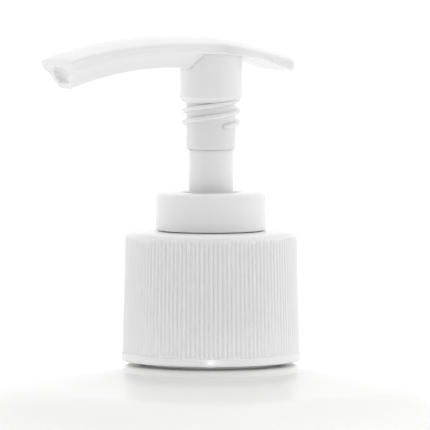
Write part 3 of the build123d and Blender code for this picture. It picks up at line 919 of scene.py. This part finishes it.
class BOTTLE_OT_spring(bpy.types.Operator):
    """Compression spring with closed ends"""
    bl_idname = "bottle.spring"
    bl_label = "Return spring"

    def execute(self, context):
        wire, coil, turns, dead = 0.45, 4.3, 7.5, 1.0
        rows_per_turn, facets = 40, 12
        foot, top, dead_rise = SPRING_FOOT + wire, SPRING_TOP - wire, 2.1 * wire
        t = np.linspace(0, turns, int(turns * rows_per_turn))
        marks = [0, dead, turns - dead, turns]
        rise = np.interp(t, marks, [foot, foot + dead_rise, top - dead_rise, top])
        u = np.linspace(0, 2 * np.pi, facets, endpoint=False)
        angle = 2 * np.pi * t[:, None]
        radius = coil + wire * np.cos(u)[None]
        grid = np.stack([
            radius * np.cos(angle), radius * np.sin(angle), rise[:, None] + wire * np.sin(u)[None],
        ], axis=2)
        spring = surface("coil_spring", [(capped(grid), False)], "spring",
                         bright_steel("spring_wire", 4000.0), "return_spring")
        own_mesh(spring)
        return {"FINISHED"}


class BOTTLE_OT_inner_parts(bpy.types.Operator):
    """Finishes of the gasket, housing, cage, ball, piston, rod and dip tube"""
    bl_idname = "bottle.inner_parts"
    bl_label = "Inner parts"

    def execute(self, context):
        finish_node("neck_gasket", foam_white())
        finish_node("pump_housing", natural_plastic())
        finish_node("ball_cage", natural_plastic())
        finish_node("dip_tube", natural_plastic())
        finish_node("inlet_ball", bright_steel("ball_steel", 900.0))
        finish_node("piston_seal", seal_plastic())
        finish_node("valve_rod", pump_plastic())
        return {"FINISHED"}


class BOTTLE_OT_stage(bpy.types.Operator):
    """Pale floor, soft light and camera"""
    bl_idname = "bottle.stage"
    bl_label = "Stage"

    def execute(self, context):
        values = context.scene.stage_settings
        floor_mesh = bpy.data.meshes.new("floor")
        reach = 1.5
        corners = [(-reach, -reach, 0), (reach, -reach, 0), (reach, reach, 0), (-reach, reach, 0)]
        floor_mesh.from_pydata(corners, [], [(0, 1, 2, 3)])
        floor = bpy.data.objects.new("floor", floor_mesh)
        context.scene.collection.objects.link(floor)
        paint, tree, shader, _ = new_material("floor_paint")
        shader.inputs["Base Color"].default_value = (*values.floor, 1)
        shader.inputs["Roughness"].default_value = 0.9
        shader.inputs["Emission Color"].default_value = (1, 1, 1, 1)
        shader.inputs["Emission Strength"].default_value = 0.05
        floor_mesh.materials.append(paint)
        self.light(context)
        self.camera(context, values)
        return {"FINISHED"}

    def light(self, context):
        """A white room for light, dimmer towards the camera's side and stronger overhead, and plain
        white to look at."""
        bright_side, dark_side, turned_by = 1.13, 0.36, math.radians(8.0)
        top_extra, seen_white = 0.16, 1.15
        world = bpy.data.worlds.new("studio")
        context.scene.world = world
        world.use_nodes = True
        tree = world.node_tree
        tree.nodes.clear()
        out = tree.nodes.new("ShaderNodeOutputWorld")
        seen = add(tree, "ShaderNodeBackground", in_Strength=seen_white)
        seen.inputs["Color"].default_value = (1, 1, 1, 1)
        lit = add(tree, "ShaderNodeBackground")
        place = tree.nodes.new("ShaderNodeTexCoord").outputs["Generated"]
        front = add(tree, "ShaderNodeVectorMath", operation="DOT_PRODUCT")
        dark = context.scene.stage_settings.azimuth - turned_by
        front.inputs[1].default_value = (math.sin(dark), -math.cos(dark), 0.0)
        link(tree, place, front.inputs[0])
        strength = between(tree, front.outputs["Value"], -0.1, 0.95, bright_side, dark_side)
        height = tree.nodes.new("ShaderNodeSeparateXYZ")
        link(tree, place, height.inputs[0])
        overhead = between(tree, height.outputs["Z"], 0.55, 0.85, 0.0, top_extra)
        strength = maths(tree, "ADD", strength, overhead)
        link(tree, strength, lit.inputs["Strength"])
        lit.inputs["Color"].default_value = (1, 1, 1, 1)
        mix = tree.nodes.new("ShaderNodeMixShader")
        path = tree.nodes.new("ShaderNodeLightPath")
        link(tree, path.outputs["Is Camera Ray"], mix.inputs["Fac"])
        link(tree, lit.outputs[0], mix.inputs[1])
        link(tree, seen.outputs[0], mix.inputs[2])
        link(tree, mix.outputs[0], out.inputs["Surface"])
        self.body_light(context)

    def body_light(self, context):
        """A soft-edged beam from the camera's side, which ends just below the top of the shoulder."""
        away_by, lamp_height, to_shoulder, below_top = 1.2, 0.1, 1.16, 2.5
        data = bpy.data.lights.new("body_light", "SPOT")
        data.energy = context.scene.stage_settings.body_light
        data.spot_size = math.radians(40)
        data.spot_blend = 0.06
        data.shadow_soft_size = 0.02
        data.specular_factor = 0.0
        lamp = bpy.data.objects.new("body_light", data)
        context.scene.collection.objects.link(lamp)
        a = context.scene.stage_settings.azimuth
        away = Vector((math.sin(a), -math.cos(a), 0))
        lamp.location = away * away_by + Vector((0, 0, lamp_height))
        edge = math.atan2((SHOULDER_Z - below_top) * MM - lamp_height, to_shoulder)
        rise = edge - data.spot_size / 2
        aim = -away * math.cos(rise) + Vector((0, 0, math.sin(rise)))
        lamp.rotation_euler = aim.to_track_quat("-Z", "Y").to_euler()

    def camera(self, context, values):
        """Camera at the given azimuth, a little above the head and aimed below it."""
        eye_height, aim_height, aim_right = 0.300, 0.2281, 0.00072
        data = bpy.data.cameras.new("camera")
        data.lens = values.lens
        data.sensor_width = 36.0
        camera = bpy.data.objects.new("camera", data)
        context.scene.collection.objects.link(camera)
        a = values.azimuth
        back = Vector((math.sin(a), -math.cos(a), 0))
        right = Vector((math.cos(a), math.sin(a), 0))
        eye = back * values.distance + Vector((0, 0, eye_height))
        aim = Vector((0, 0, aim_height)) + right * aim_right
        camera.location = eye
        camera.rotation_euler = (aim - eye).to_track_quat("-Z", "Y").to_euler()
        data.clip_end = 100.0
        context.scene.camera = camera
        context.scene.view_settings.view_transform = "Standard"


class BOTTLE_PT_panel(bpy.types.Panel):
    """Lists the pieces and their settings"""
    bl_idname = "BOTTLE_PT_panel"
    bl_label = "Pump bottle"
    bl_space_type = "VIEW_3D"
    bl_region_type = "UI"
    bl_category = "Bottle"

    def draw(self, context):
        for maker in OPERATORS:
            self.layout.operator(maker.bl_idname)
        for name, group in SETTINGS.items():
            box = self.layout.box()
            box.label(text=name)
            for label in group.__annotations__:
                box.prop(getattr(context.scene, name), label)


SETTINGS = {
    "bottle_settings": BottleSettings,
    "closure_settings": ClosureSettings,
    "pump_settings": PumpSettings,
    "stage_settings": StageSettings,
}
OPERATORS = [
    BOTTLE_OT_stage, BOTTLE_OT_bottle, BOTTLE_OT_closure, BOTTLE_OT_collar, BOTTLE_OT_stem,
    BOTTLE_OT_head, BOTTLE_OT_spring, BOTTLE_OT_inner_parts,
]


def register():
    """Registers the settings, operators and panel."""
    for name, group in SETTINGS.items():
        bpy.utils.register_class(group)
        setattr(bpy.types.Scene, name, PointerProperty(type=group))
    for maker in [*OPERATORS, BOTTLE_PT_panel]:
        bpy.utils.register_class(maker)


def unregister():
    """Removes what register added."""
    for maker in [BOTTLE_PT_panel, *reversed(OPERATORS)]:
        bpy.utils.unregister_class(maker)
    for name, group in SETTINGS.items():
        delattr(bpy.types.Scene, name)
        bpy.utils.unregister_class(group)


def main():
    """Builds every piece and the stage."""
    register()
    for maker in OPERATORS:
        family, call = maker.bl_idname.split(".")
        getattr(getattr(bpy.ops, family), call)()


if __name__ == "__main__":
    main()
